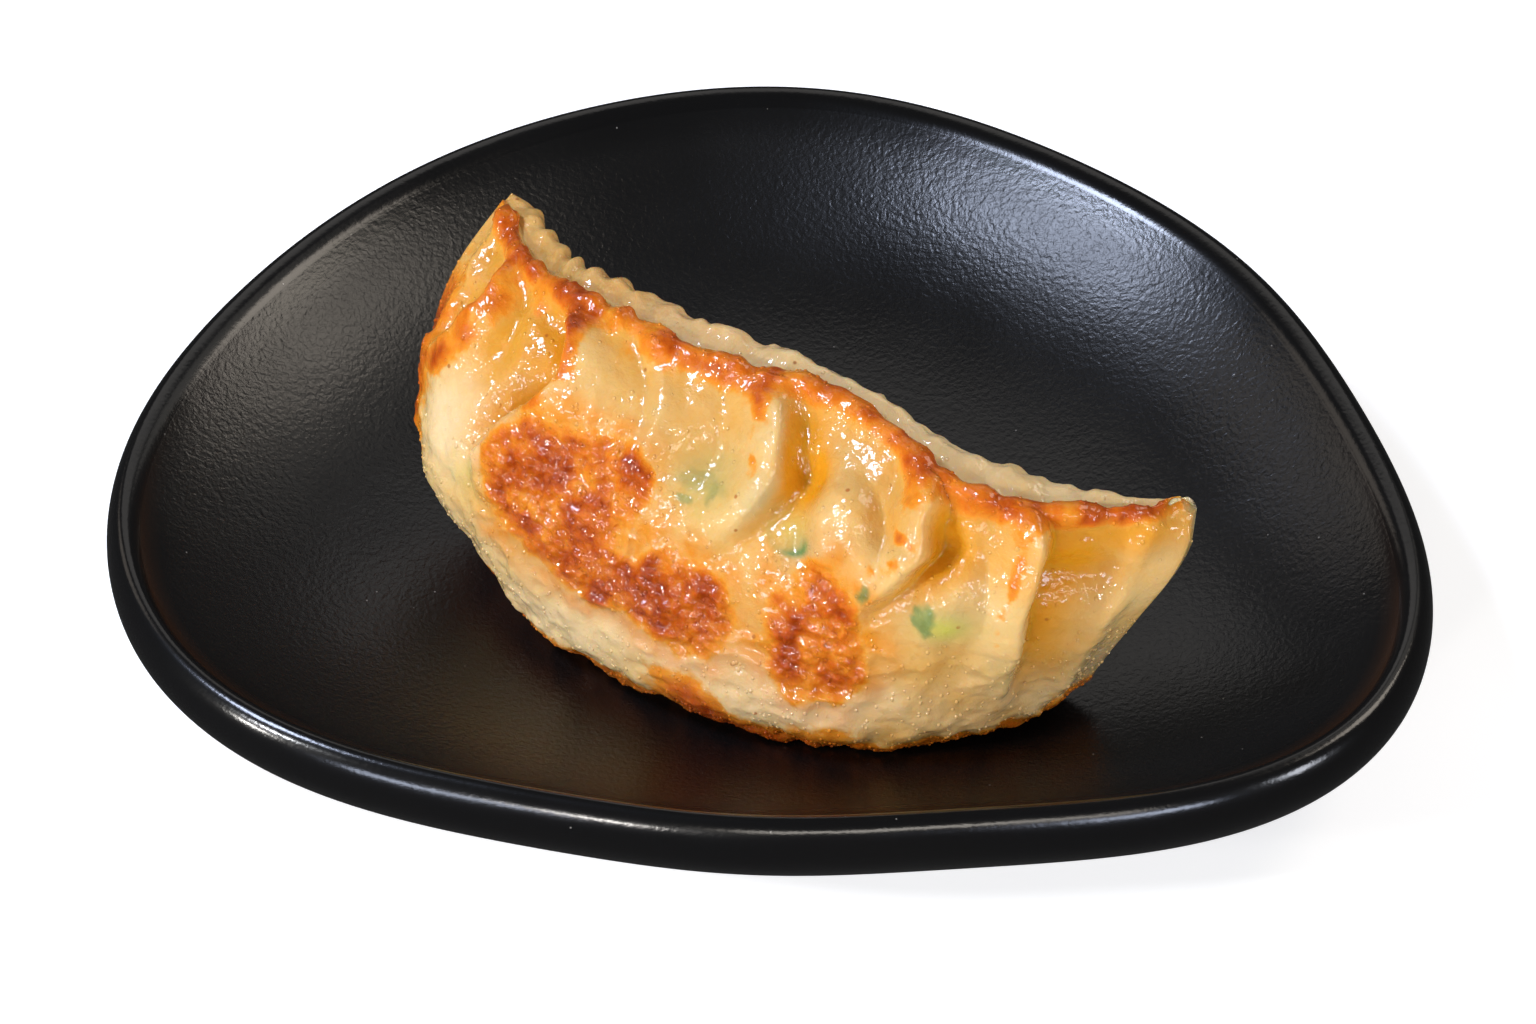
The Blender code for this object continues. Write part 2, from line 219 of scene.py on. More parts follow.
# ---- stage: lights and camera --------------------------------------------------------
Lamp = namedtuple("Lamp", "name direction distance size power colour")
LAMPS = (
    Lamp("window_left", (-0.55, -0.02, 0.83), 0.75, (0.17, 0.17), 3.4, (0.68, 0.77, 1.0)),
    Lamp("side_window", (-0.74, -0.40, 0.54), 0.75, (0.05, 0.055), 1.6, (0.95, 0.97, 1.0)),
    Lamp("low_side", (-0.84, -0.44, 0.31), 0.75, (0.045, 0.05), 1.1, (1.0, 0.97, 0.92)),
    Lamp("front_lamp", (0.12, -0.84, 0.53), 0.9, (0.44, 0.13), 1.2, (1.0, 0.93, 0.84)),
    Lamp("low_front", (-0.34, -0.88, 0.33), 0.9, (0.07, 0.05), 1.1, (1.0, 0.95, 0.90)),
    Lamp("left_front", (-0.54, -0.80, 0.25), 0.9, (0.26, 0.12), 1.3, (0.72, 0.80, 1.0)),
    Lamp("right_front", (0.40, -0.86, 0.31), 0.9, (0.26, 0.12), 1.3, (0.72, 0.80, 1.0)),
    Lamp("right_window", (0.78, -0.50, 0.38), 0.9, (0.14, 0.20), 1.5, (0.86, 0.90, 1.0)),
    Lamp("right_lamp", (0.62, 0.22, 0.74), 0.9, (0.30, 0.30), 1.4, (1.0, 0.90, 0.78)),
    Lamp("left_fill", (-0.62, 0.50, 0.60), 0.9, (0.25, 0.25), 0.20, (1.0, 0.88, 0.76)),
    Lamp("seam_lamp", (0.40, 0.50, 0.77), 0.9, (0.32, 0.32), 0.20, (1.0, 0.95, 0.88)),
    Lamp("back_fill", (-0.05, 0.75, 0.65), 1.0, (0.50, 0.40), 0.45, (1.0, 0.96, 0.92)),
)
ROOM_LIGHT = 0.05
BACKDROP_TONE = 0.54              # as pale as the far floor, where the camera sees it
FLOOR_REACH = 3.0
FLOOR_GLOW = 0.55
CAMERA_ELEVATION = radians(45)
CAMERA_DISTANCE = 0.512
CAMERA_TARGET = (0.40, 6.9, 0)    # millimetres


# ---- curves and fields ----------------------------------------------------------------
def smooth_curve(place, knots):
    """Value at `place` of the smooth curve through the knots."""
    at, value = np.array(knots, dtype=float).T
    slope = np.gradient(value, at)
    place = np.clip(place, at[0], at[-1])
    i = np.clip(np.searchsorted(at, place, side="right") - 1, 0, len(at) - 2)
    span = at[i + 1] - at[i]
    t = (place - at[i]) / span
    rise = 3 * t**2 - 2 * t**3
    return (value[i] * (1 - rise) + value[i + 1] * rise
            + span * (slope[i] * (t**3 - 2 * t**2 + t) + slope[i + 1] * (t**3 - t**2)))


def ease(t):
    """0 below 0, 1 above 1, smooth between."""
    t = np.clip(t, 0, 1)
    return t * t * (3 - 2 * t)


def hump(distance, width):
    """A soft bell: 1 at no distance, about a third at `width`."""
    return np.exp(-(distance / width) ** 2)


def scramble(cell, seed):
    """A fixed random number from 0 to 1 for each whole-number cell."""
    mixed = np.full(cell.shape[:-1], seed * 7919 + 1, dtype=np.uint32)
    for axis, prime in enumerate((73856093, 19349663, 83492791)):
        mixed ^= cell[..., axis].astype(np.int64).astype(np.uint32) * np.uint32(prime)
        mixed ^= mixed >> np.uint32(13)
        mixed *= np.uint32(1274126177)
        mixed ^= mixed >> np.uint32(16)
    return mixed / 2.0**32


def ripple(points, size, seed):
    """A smooth random field from -1 to 1 with bumps about `size` across."""
    at = points / size
    cell = np.floor(at)
    part = ease(at - cell)
    total = np.zeros(points.shape[:-1])
    for corner in product((0, 1), repeat=3):
        weight = np.prod(np.where(corner, part, 1 - part), axis=-1)
        total += weight * scramble(cell + corner, seed)
    return 2 * total - 1


def ripples(points, size, seed, layers=3):
    """Ripples of `size` with finer, weaker ones on top."""
    total = sum(ripple(points, size / 2**i, seed + i) / 2**i for i in range(layers))
    return total / sum(1 / 2**i for i in range(layers))


def nearest_seeds(points, size, seed):
    """Distances to the nearest and second nearest of seeds scattered `size` apart."""
    at = points / size
    cell = np.floor(at)
    first = np.full(points.shape[:-1], 9.0)
    second = first.copy()
    for offset in product((-1, 0, 1), repeat=3):
        near = cell + offset
        spot = near + np.stack([scramble(near, seed + axis) for axis in range(3)], -1)
        away = np.linalg.norm(at - spot, axis=-1)
        second = np.minimum(second, np.maximum(first, away))
        first = np.minimum(first, away)
    return first, second


# ---- meshes ---------------------------------------------------------------------------
def lofted(name, rings, first_centre=None, last_centre=None):
    """Closed quad skin over rings, in millimetres; a centre closes its end with a fan."""
    count, across = rings.shape[:2]
    verts = rings.reshape(-1, 3) * MM
    index = np.arange(count * across).reshape(count, across)
    quads = np.stack([index[:-1], np.roll(index, -1, 1)[:-1], np.roll(index, -1, 1)[1:],
                      index[1:]], -1).reshape(-1, 4)
    faces = quads.tolist()
    extra = []
    for row, centre in ((index[0], first_centre), (index[-1], last_centre)):
        if centre is None:
            faces.append(row.tolist())
            continue
        hub = len(verts) + len(extra)
        extra.append(np.array(centre) * MM)
        faces += [[hub, int(a), int(b)] for a, b in zip(row, np.roll(row, -1))]
    mesh = bpy.data.meshes.new(name)
    mesh.from_pydata(np.vstack([verts, *extra]).tolist(), [], faces)
    bm = bmesh.new()
    bm.from_mesh(mesh)
    bmesh.ops.triangulate(bm, faces=[f for f in bm.faces if len(f.verts) > 4])
    bmesh.ops.recalc_face_normals(bm, faces=bm.faces)
    bm.to_mesh(mesh)
    bm.free()
    mesh.shade_smooth()
    obj = bpy.data.objects.new(name, mesh)
    bpy.context.scene.collection.objects.link(obj)
    return obj


def paint(obj, **fields):
    """Stores fields, one number for each point of the rings, as attributes of the mesh."""
    size = len(obj.data.vertices)
    for name, numbers in fields.items():
        values = np.zeros(size, dtype=np.float32)
        flat = np.asarray(numbers, dtype=np.float32).reshape(-1)
        values[:len(flat)] = flat
        obj.data.attributes.new(name, "FLOAT", "POINT").data.foreach_set("value", values)


def skin_normals(rings):
    """Outward normals of closed rings."""
    around = np.roll(rings, -1, 1) - np.roll(rings, 1, 1)
    normal = np.cross(around, np.gradient(rings, axis=0))
    return normal / (np.linalg.norm(normal, axis=-1, keepdims=True) + 1e-9)


def raised(rings, relief):
    """Rings pushed outward by a relief."""
    return rings + skin_normals(rings) * relief[..., None]


# ---- materials ------------------------------------------------------------------------
def add(tree, kind, inputs=None, output=0, **settings):
    """Adds a node; an input is a socket to link or a plain value.  Returns an output."""
    node = tree.nodes.new(kind)
    for key, value in settings.items():
        setattr(node, key, value)
    for key, value in (inputs or {}).items():
        if isinstance(value, bpy.types.NodeSocket):
            tree.links.new(value, node.inputs[key])
        else:
            node.inputs[key].default_value = value
    return node.outputs[output]


def field(tree, name):
    """What `paint` stored under a name, for a material."""
    return add(tree, "ShaderNodeAttribute", output="Fac", attribute_name=name)


def blend(tree, part, first, second):
    """Mixes two colours."""
    colours = [c if isinstance(c, bpy.types.NodeSocket) else (*c, 1) for c in (first, second)]
    return add(tree, "ShaderNodeMix", {0: part, 6: colours[0], 7: colours[1]}, output=2,
               data_type="RGBA")


def maths(tree, how, first, second):
    """One sum, product or difference."""
    return add(tree, "ShaderNodeMath", {0: first, 1: second}, operation=how)


def between(tree, value, low, high, to_low=0.0, to_high=1.0):
    """Maps low..high smoothly onto to_low..to_high."""
    return add(tree, "ShaderNodeMapRange", {"Value": value, "From Min": low, "From Max": high,
               "To Min": to_low, "To Max": to_high}, interpolation_type="SMOOTHSTEP")


def grain(tree, place, size, detail=3.0, roughness=0.5, distortion=0.0):
    """Noise from 0 to 1 with bumps about `size` millimetres across."""
    return add(tree, "ShaderNodeTexNoise", {"Vector": place, "Scale": 1 / (size * MM),
               "Detail": detail, "Roughness": roughness, "Distortion": distortion})


def bumped(tree, height, depth, under=None):
    """Bump of `depth` millimetres; depth and height multiply."""
    inputs = {"Height": height, "Strength": 1.0, "Distance": depth * MM}
    if under is not None:
        inputs["Normal"] = under
    return add(tree, "ShaderNodeBump", inputs)


def new_material(name):
    """A material, its node tree, its shader and the place on the object."""
    mat = bpy.data.materials.new(name)
    mat.use_nodes = True
    tree = mat.node_tree
    place = add(tree, "ShaderNodeTexCoord", output="Object")
    return mat, tree, tree.nodes["Principled BSDF"], place


def glaze_material():
    """Black satin stoneware glaze, lightly specked: finely wrinkled inside, glossy on the lip."""
    mat, tree, bsdf, place = new_material("black_glaze")
    lip = field(tree, "lip")
    edge = field(tree, "break_line")
    foot = field(tree, "bare_foot")
    patches = grain(tree, place, 22, 2)
    black = blend(tree, patches, *GLAZE_BLACKS)
    # A painted reflection of the mandu: a warm brown line along the inner edge of the front lip.
    black = blend(tree, edge, black, MANDU_REFLECTION_BROWN)
    specks = add(tree, "ShaderNodeTexVoronoi", {"Vector": place, "Scale": 1 / (2.6 * MM),
                 "Randomness": 1.0}, output="Distance")
    chosen = grain(tree, place, 3.7, 0)
    speck = maths(tree, "MULTIPLY", between(tree, specks, 0.055, 0.02),
                  between(tree, chosen, 0.56, 0.62))
    colour = blend(tree, maths(tree, "MULTIPLY", speck, 0.7), black, GLAZE_SPECK)
    clay = blend(tree, grain(tree, place, 1.2, 4), *BARE_CLAY)
    tree.links.new(blend(tree, foot, colour, clay), bsdf.inputs["Base Color"])
    rough = between(tree, patches, 0.35, 0.7, 0.33, 0.28)
    rough = maths(tree, "SUBTRACT", rough, maths(tree, "MULTIPLY", lip, 0.13))
    rough = maths(tree, "ADD", rough, maths(tree, "MULTIPLY", foot, 0.45))
    tree.links.new(rough, bsdf.inputs["Roughness"])
    bsdf.inputs["Specular IOR Level"].default_value = 0.55
    wrinkle = grain(tree, place, 0.65, 2, 0.55, 0.3)
    depth = between(tree, lip, 0.0, 1.0, 1.0, 0.25)
    normal = bumped(tree, maths(tree, "MULTIPLY", wrinkle, depth), 0.075)
    normal = bumped(tree, grain(tree, place, 8, 1), 0.06, normal)
    tree.links.new(normal, bsdf.inputs["Normal"])
    return mat


def dough_material(name, translucent):
    """Fried wheat dough: golden and translucent, with crisp brown crust and an oil film."""
    mat, tree, bsdf, place = new_material(name)
    brown, hollow, green = (field(tree, n) for n in ("brown", "hollow", "green"))
    filling, milky, thin = (field(tree, n) for n in ("filling", "milky", "thin"))
    crust, halo, lime = (field(tree, n) for n in ("crust", "halo", "lime"))
    cloud = grain(tree, place, 5, 3)
    fine = grain(tree, place, 1.2, 4, 0.6)
    medium = grain(tree, place, 3.0, 2)
    pale = blend(tree, cloud, *PALE_DOUGH)
    golden = blend(tree, medium, *GOLDEN_DOUGH)
    dough = blend(tree, thin, pale, golden)
    freckled = maths(tree, "MULTIPLY", between(tree, fine, 0.46, 0.68, 0.0, 0.55), thin)
    dough = blend(tree, freckled, dough, FRECKLE)
    warm = maths(tree, "MULTIPLY", halo, between(tree, medium, 0.35, 0.65, 0.45, 1.0))
    dough = blend(tree, warm, dough, HALO_GOLD)
    dough = blend(tree, milky, dough, MILKY_DOUGH)
    dough = blend(tree, filling, dough, GREY_FILLING)
    # Painted shade: darker honey in the valleys, the dents and under the crest.
    dough = blend(tree, hollow, dough, PAINTED_SHADE_HONEY)
    dough = blend(tree, lime, dough, LIME)
    herb = blend(tree, grain(tree, place, 1.1, 2), *HERB_GREENS)
    dough = blend(tree, green, dough, herb)
    wobble = maths(tree, "MULTIPLY", maths(tree, "SUBTRACT", fine, 0.5), 0.45)
    level = maths(tree, "ADD", brown, wobble)
    toast = add(tree, "ShaderNodeValToRGB", {"Fac": level})
    ramp = toast.node.color_ramp
    while len(ramp.elements) < len(TOAST):
        ramp.elements.new(0.5)
    for element, (at, colour) in zip(ramp.elements, TOAST):
        element.position = at
        element.color = (*colour, 1)
    colour = blend(tree, between(tree, level, 0.06, 0.30), dough, toast)
    dots = add(tree, "ShaderNodeTexVoronoi", {"Vector": place, "Scale": 1 / (3.4 * MM),
               "Randomness": 1.0}, output="Distance")
    dot = maths(tree, "MULTIPLY", between(tree, dots, 0.10, 0.045),
                between(tree, grain(tree, place, 4.4, 0), 0.50, 0.58))
    colour = blend(tree, maths(tree, "MULTIPLY", dot, 0.8), colour, PAN_DOT)
    tree.links.new(colour, bsdf.inputs["Base Color"])
    rough = between(tree, grain(tree, place, 2.2, 3), 0.3, 0.7, 0.18, 0.42)
    tree.links.new(rough, bsdf.inputs["Roughness"])
    bsdf.inputs["Specular IOR Level"].default_value = 0.12
    bsdf.inputs["Coat Weight"].default_value = 0.75
    bsdf.inputs["Coat Roughness"].default_value = 0.05
    bsdf.inputs["Subsurface Weight"].default_value = translucent
    bsdf.inputs["Subsurface Radius"].default_value = (1.0, 0.42, 0.14)
    bsdf.inputs["Subsurface Scale"].default_value = 1.8 * MM
    flake = add(tree, "ShaderNodeTexVoronoi", {"Vector": place, "Scale": 1 / (0.9 * MM)},
                output="Distance", feature="F1")
    crackle = maths(tree, "MULTIPLY", maths(tree, "ADD", flake, grain(tree, place, 0.6, 3)), crust)
    skin = bumped(tree, crackle, 0.18)
    skin = bumped(tree, grain(tree, place, 1.5, 4, 0.6), 0.24, skin)
    tree.links.new(skin, bsdf.inputs["Normal"])
    oil = bumped(tree, grain(tree, place, 1.0, 1, 0.5, 0.3), 0.19)
    oil = bumped(tree, grain(tree, place, 2.6, 1, 0.5, 0.3), 0.36, oil)
    tree.links.new(oil, bsdf.inputs["Coat Normal"])
    return mat


def blister_tree():
    """Geometry Nodes: small flattened blisters strewn over a skin where it is `bubbly`."""
    tree = bpy.data.node_groups.new("blisters", "GeometryNodeTree")
    for name, kind in (("Skin", "Geometry"), ("Density", "Float"), ("Smallest", "Float"),
                       ("Largest", "Float"), ("Seed", "Int"), ("Finish", "Material")):
        tree.interface.new_socket(name, in_out="INPUT", socket_type="NodeSocket" + kind)
    tree.interface.new_socket("Blisters", in_out="OUTPUT", socket_type="NodeSocketGeometry")
    given = tree.nodes.new("NodeGroupInput").outputs
    bubbly = add(tree, "GeometryNodeInputNamedAttribute", {"Name": "bubbly"}, data_type="FLOAT")
    density = maths(tree, "MULTIPLY", bubbly, given["Density"])
    points = add(tree, "GeometryNodeDistributePointsOnFaces",
                 {"Mesh": given["Skin"], "Density": density, "Seed": given["Seed"]}).node
    ball = add(tree, "GeometryNodeMeshUVSphere", {"Segments": 8, "Rings": 6, "Radius": 1.0})
    dome = add(tree, "GeometryNodeTransform", {"Geometry": ball, "Translation": (0.0, 0.0, -0.25),
               "Scale": (1.0, 1.25, 0.8)})
    size = add(tree, "FunctionNodeRandomValue", {2: given["Smallest"], 3: given["Largest"],
               "Seed": given["Seed"]}, output=1, data_type="FLOAT")
    copies = add(tree, "GeometryNodeInstanceOnPoints", {"Points": points.outputs["Points"],
                 "Instance": dome, "Rotation": points.outputs["Rotation"], "Scale": size})
    real = add(tree, "GeometryNodeRealizeInstances", {"Geometry": copies})
    smooth = add(tree, "GeometryNodeSetShadeSmooth", {"Geometry": real})
    made = add(tree, "GeometryNodeSetMaterial", {"Geometry": smooth, "Material": given["Finish"]})
    result = tree.nodes.new("NodeGroupOutput")
    tree.links.new(made, result.inputs["Blisters"])
    return tree


def strew(name, skin, finish, density, smallest, largest, seed):
    """Blisters on a skin as one plain mesh; sizes in millimetres, density per square one."""
    carrier = bpy.data.objects.new(name + "_carrier", skin.data)
    bpy.context.scene.collection.objects.link(carrier)
    tree = blister_tree()
    modifier = carrier.modifiers.new("strewn", "NODES")
    modifier.node_group = tree
    values = {"Density": density / MM**2, "Smallest": smallest * MM, "Largest": largest * MM,
              "Seed": seed, "Finish": finish}
    for socket in tree.interface.items_tree:
        if socket.name in values:
            modifier[socket.identifier] = values[socket.name]
    settled = carrier.evaluated_get(bpy.context.evaluated_depsgraph_get())
    piece = bpy.data.objects.new(name, bpy.data.meshes.new_from_object(settled))
    bpy.data.objects.remove(carrier)
    bpy.context.scene.collection.objects.link(piece)
    return piece


# ---- plate ----------------------------------------------------------------------------
DISH_POINTS = 400                 # points round each ring of the dish


def rim_outline(steps):
    """Points of the rim with the middle of their box at the origin, and their normals."""
    angle = np.linspace(0, 2 * pi, steps, endpoint=False)
    radius = RIM_RADIUS + sum(h * np.cos(k * (angle - crest)) for k, h, crest in RIM_WAVES)
    around = np.stack([np.cos(angle), np.sin(angle)], -1) * radius[:, None]
    around -= (around.max(0) + around.min(0)) / 2
    tangent = np.roll(around, -1, 0) - np.roll(around, 1, 0)
    tangent /= np.linalg.norm(tangent, axis=1, keepdims=True)
    return around, np.stack([tangent[:, 1], -tangent[:, 0]], -1)


def bowl_height(reach):
    """Height of the inside; reach is 0 in the middle and 1 at the lip's inner edge."""
    return FLOOR_HEIGHT + (RIM_HEIGHT - LIP_DROP - FLOOR_HEIGHT) * reach**BOWL_POWER


def wall_inset(height):
    """How far the wall has tucked in under the rim, at a height above the floor."""
    top = RIM_HEIGHT - LIP_DROP
    return WALL_TUCK * np.clip((top - height) / (top - WALL_FOOT), 0, 1) ** WALL_POWER


def build_dish():
    """The plate as one skin, from the middle of the bowl over the lip and down to the foot."""
    outline, normal = rim_outline(DISH_POINTS)
    full = ease((0.4 - normal[:, 1]) / 0.9)[:, None]     # the shoulder is fullest in front
    crown = 1.5 + 1.3 * full                             # inset of the top of the lip
    shoulder = LIP_DROP + 0.3 + 4.0 * full               # how deep its round outer side is
    inner_edge = RIM_HEIGHT - 1.0 - 0.3 * full           # where the bowl meets the lip
    # edge holds a painted reflection of the mandu, strongest at the inner edge of the front lip.
    rings, lip, edge, foot = [], [], [], []

    def ring(inset, height, scale=1.0, gloss=0.0, brown=0.0, bare=0.0):
        """Adds one ring, moved in from the scaled rim, and how its glaze is."""
        flat = outline * scale - normal * inset
        rings.append(np.column_stack([flat, np.broadcast_to(height, (len(flat), 1))]))
        for marks, mark in ((lip, gloss), (edge, brown), (foot, bare)):
            marks.append(np.broadcast_to(mark, (len(flat), 1))[:, 0])

    top_of_bowl = RIM_HEIGHT - LIP_DROP
    for reach in np.linspace(0.02, 1, 70):
        near = ease((reach - 0.93) / 0.07)
        extra = (inner_edge - top_of_bowl) * ease((reach - 0.7) / 0.3)
        ring(LIP_WIDTH * reach, bowl_height(reach) + extra, reach, 0.6 * near, near**10 * full)
    start = radians(42)
    for turn in np.linspace(start, 0, 13)[1:]:
        part = sin(turn) / sin(start)
        height = RIM_HEIGHT - (RIM_HEIGHT - inner_edge) * (1 - cos(turn)) / (1 - cos(start))
        ring(crown + (LIP_WIDTH - crown) * part, height, 1.0, 1.0, part**6 * full)
    for turn in np.linspace(0, pi / 2, 19)[1:]:
        height = RIM_HEIGHT - shoulder * (1 - cos(turn))
        ring(crown * (1 - sin(turn)) + wall_inset(height), height, 1.0, 1.0)
    wall_top = RIM_HEIGHT - shoulder
    for drop in np.linspace(0, 1, 32)[1:]:
        height = wall_top + (WALL_FOOT - wall_top) * drop
        ring(wall_inset(height), height, 1.0, 0.7 - 0.3 * ease(drop / 0.4))
    ring(1.2, FOOT_RECESS + 0.15, FOOT_SCALE + 0.03, 0.4)
    for inset, height in ((0, FOOT_RECESS), (0.15, 0.5), (FOOT_EDGE, 0.05), (FOOT_EDGE + 0.3, 0),
                          (FOOT_WIDTH - FOOT_EDGE - 0.3, 0), (FOOT_WIDTH - FOOT_EDGE, 0.05),
                          (FOOT_WIDTH - 0.15, 0.5), (FOOT_WIDTH, FOOT_RECESS)):
        ring(inset, height, FOOT_SCALE, 0, 0, float(height < 1))
    ring(FOOT_WIDTH + 6, FOOT_RECESS + 0.1, FOOT_SCALE, 0.2)
    dish = lofted("dish", np.stack(rings), (0, 0, FLOOR_HEIGHT), (0, 0, FOOT_RECESS + 0.1))
    paint(dish, lip=np.stack(lip), break_line=np.stack(edge), bare_foot=np.stack(foot))
    dish.data.materials.append(glaze_material())
    return dish


# ---- mandu ----------------------------------------------------------------------------
# Rings along the mandu, and points round each: front, base, back and folded seam.
STATIONS = 320
FRONT_POINTS = 168
BASE_POINTS = 14
BACK_POINTS = 50
FLANGE_POINTS = 66


def side_shape(way, knots):
    """Part of the half width and part of the height, at a way down a side."""
    at, width, height = zip(*knots)
    return smooth_curve(way, tuple(zip(at, width))), smooth_curve(way, tuple(zip(at, height)))


def between_ends(place, height):
    """x at a place along the seam, for a part of the height."""
    left, right = smooth_curve(height, LEFT_END), smooth_curve(height, RIGHT_END)
    return left + (right - left) * place


def side(place, points, belly, knots):
    """Points of the front or the back, from the crest down."""
    way, place = np.meshgrid(np.linspace(0, 1, points), place)
    width, height = side_shape(way, knots)
    seam_y = smooth_curve(place, SEAM_Y)
    y = seam_y + (smooth_curve(place, belly) - seam_y) * width
    return np.stack([between_ends(place, height), y, height * smooth_curve(place, SEAM_Z)], -1)


def folded_seam(place):
    """The seam folded back behind the crest, from just past the crest to its underside."""
    way, place = np.meshgrid(np.linspace(0, 0.92, FLANGE_POINTS + 1)[1:], place)
    at, back, drop = zip(*FLANGE)
    tips = ease(np.minimum(place, 1 - place) / 0.06)
    width = smooth_curve(place, FLANGE_WIDTH) * smooth_curve(way, tuple(zip(at, back)))
    y = smooth_curve(place, SEAM_Y) + width
    fall = smooth_curve(way, tuple(zip(at, drop))) * (0.35 + 0.65 * tips)
    return np.stack([between_ends(place, 1.0), y, smooth_curve(place, SEAM_Z) - fall], -1)


class Mandu:
    """Rings of the mandu, and for each of their points where it lies on the skin."""

    def __init__(self):
        even = np.linspace(0, 1, STATIONS)
        # The rings stand closer together near the two ends.
        self.place = even - 0.25 * np.sin(2 * pi * even) / (2 * pi)
        front = side(self.place, FRONT_POINTS, BELLY_Y, FRONT_SIDE)
        back = side(self.place, BACK_POINTS, BACK_Y, BACK_SIDE)
        steps = np.linspace(0, 1, BASE_POINTS + 2)[1:-1]
        base = np.stack([front[:, -1] + (back[:, -1] - front[:, -1]) * t for t in steps], 1)
        seam = folded_seam(self.place)
        self.rings = np.concatenate([front, base, back[:, ::-1], seam[:, ::-1]], 1)
        shape = self.rings.shape[:2]
        self.s = np.broadcast_to(self.place[:, None], shape)
        self.way = np.zeros(shape)
        self.way[:, :FRONT_POINTS] = np.linspace(0, 1, FRONT_POINTS)
        ends = np.cumsum([FRONT_POINTS, BASE_POINTS, BACK_POINTS, FLANGE_POINTS])
        part = np.searchsorted(ends, np.arange(shape[1]), side="right")
        self.front, self.base, self.back, self.seam = (
            np.broadcast_to((part == i) * 1.0, shape) for i in range(4))
        step = np.linalg.norm(np.roll(self.rings, -1, 1) - self.rings, axis=-1)
        travelled = np.cumsum(step, 1) - step
        total = travelled[:, -1:] + step[:, -1:]
        self.from_crest = np.minimum(travelled, total - travelled)
        self.x = self.rings[..., 0].copy()
        self.down = self.way * FRONT_LENGTH
        self.tips = ease(np.minimum(self.s, 1 - self.s) / 0.04)
        self.facing = skin_normals(self.rings)
        # The right end of the crest is a little blunt.
        blunt = 2.6 * ease((self.s - 0.95) / 0.05) * hump(self.from_crest, 1.9)
        self.rings[..., 0] -= blunt

    def spot(self, x, way, width, height, lean=0.0):
        """1 in the middle of a patch on the front, 0 at its edge, negative beyond."""
        down = (self.way - way) * FRONT_LENGTH
        return 1 - ((self.x - x - lean * down) / width) ** 2 - (down / height) ** 2

    def glow(self, x, way, spread):
        """A soft round bump on the front, 1 in its middle."""
        return hump(np.hypot(self.x - x, (self.way - way) * FRONT_LENGTH), spread) * self.front

    def glows(self, spots):
        """Soft round bumps of different strengths, added up."""
        return sum(spot.strength * self.glow(spot.x, spot.way, spot.spread) for spot in spots)


def pleat_fields(m):
    """Relief, sideways roll, painted shade in the valleys, and browning of the pleats."""
    relief, roll, hollow, toast = (np.zeros(m.s.shape) for _ in range(4))
    for number, pleat in enumerate(PLEATS):
        strand = np.stack([m.down, np.full_like(m.down, 40.0 * number), 0 * m.down], -1)
        line = smooth_curve(m.way, pleat.path) * SEAM_LENGTH + 1.0 * ripples(strand, 7.0, 7, 2)
        beside = pleat.steep_side * (m.s * SEAM_LENGTH - line)
        flank = pleat.flank[0] + (pleat.flank[1] - pleat.flank[0]) * ease(m.way / 0.3)
        size = pleat.height * (1 + 0.25 * ripples(strand, 6.0, 8, 2))
        fade = ease(m.way / 0.09) * (1 - ease((m.way - 0.35 * pleat.end) / (0.65 * pleat.end)))
        rise = ease((beside + flank) / (0.95 * flank))
        drop = ease((beside + 0.9) / (pleat.step + 0.9))
        crease = 0.16 * hump(beside + flank + 0.6, 1.2)
        valley = np.exp(-np.maximum(beside - pleat.step, 0) / 3.8)
        relief += size * fade * (rise * (1 - drop) - 0.55 * valley * drop - crease)
        roll += pleat.steep_side * 0.22 * size * fade * hump(beside + 0.8, 1.4)
        # Painted shade: from the steep face down into the valley the skin is coloured darker
        # honey.
        shaded = ease((beside + 0.2) / 1.2) * hump(beside - 0.9 * pleat.step, 3.2)
        hollow += fade * shaded * size / 2.8
        streak_fade = 1 - ease((m.way / pleat.streak_end - 0.5) / 0.5)
        thickness = pleat.streak + 1.5 * (1 - ease(m.way / 0.14))
        thickness = thickness + 0.5 * ripples(strand, 4.0, 9, 2)
        streak = hump(beside + pleat.streak_back, np.maximum(thickness, 0.3)) * streak_fade
        toast = np.maximum(toast, min(pleat.streak, 1) * streak)
    hollow = np.clip(hollow + m.glows(PAINTED_SHADE_SPOTS), 0, 1)
    return relief * m.front, roll * m.front, hollow * m.front, toast * m.front


def pocket_relief(m):
    """Pillows of filling between the pleats, bulges and dents, and a hem near each end."""
    relief = np.zeros(m.s.shape)
    for pillow in PILLOWS:
        way = pillow.down / FRONT_LENGTH
        inside = m.spot(pillow.x, way, pillow.wide, pillow.tall, pillow.lean)
        merged = 1 - ease((m.down - pillow.merge) / 8)
        crease = 0.22 * hump(inside + 0.16, 0.20) * ease((m.x - pillow.x) / 3)
        swell = pillow.height * ease((inside + 0.30) / 1.2) - crease * min(pillow.height, 1)
        relief += swell * merged * m.front
    relief += m.glows(DENTS)
    hems = 1.3 * hump(m.s - 0.966, 0.014) * ease(m.way / 0.1) + 0.8 * hump(m.s - 0.03, 0.011)
    return relief + hems * m.front * (1 - ease((m.way - 0.75) / 0.2))


def crust_fields(m):
    """The fried patches: how deep inside one, and the golden halo round them."""
    rough_edge = 0.70 * ripples(m.rings, 4.6, 11, 4)
    patches = np.full(m.s.shape, -9.0)
    for patch in CRUST_PATCHES:
        patches = np.maximum(patches, m.spot(*patch))
    crust = ease((patches + rough_edge + 0.34) / 0.95) * m.front
    halo = ease((patches + rough_edge + 1.7) / 1.5) * m.front
    return crust, halo


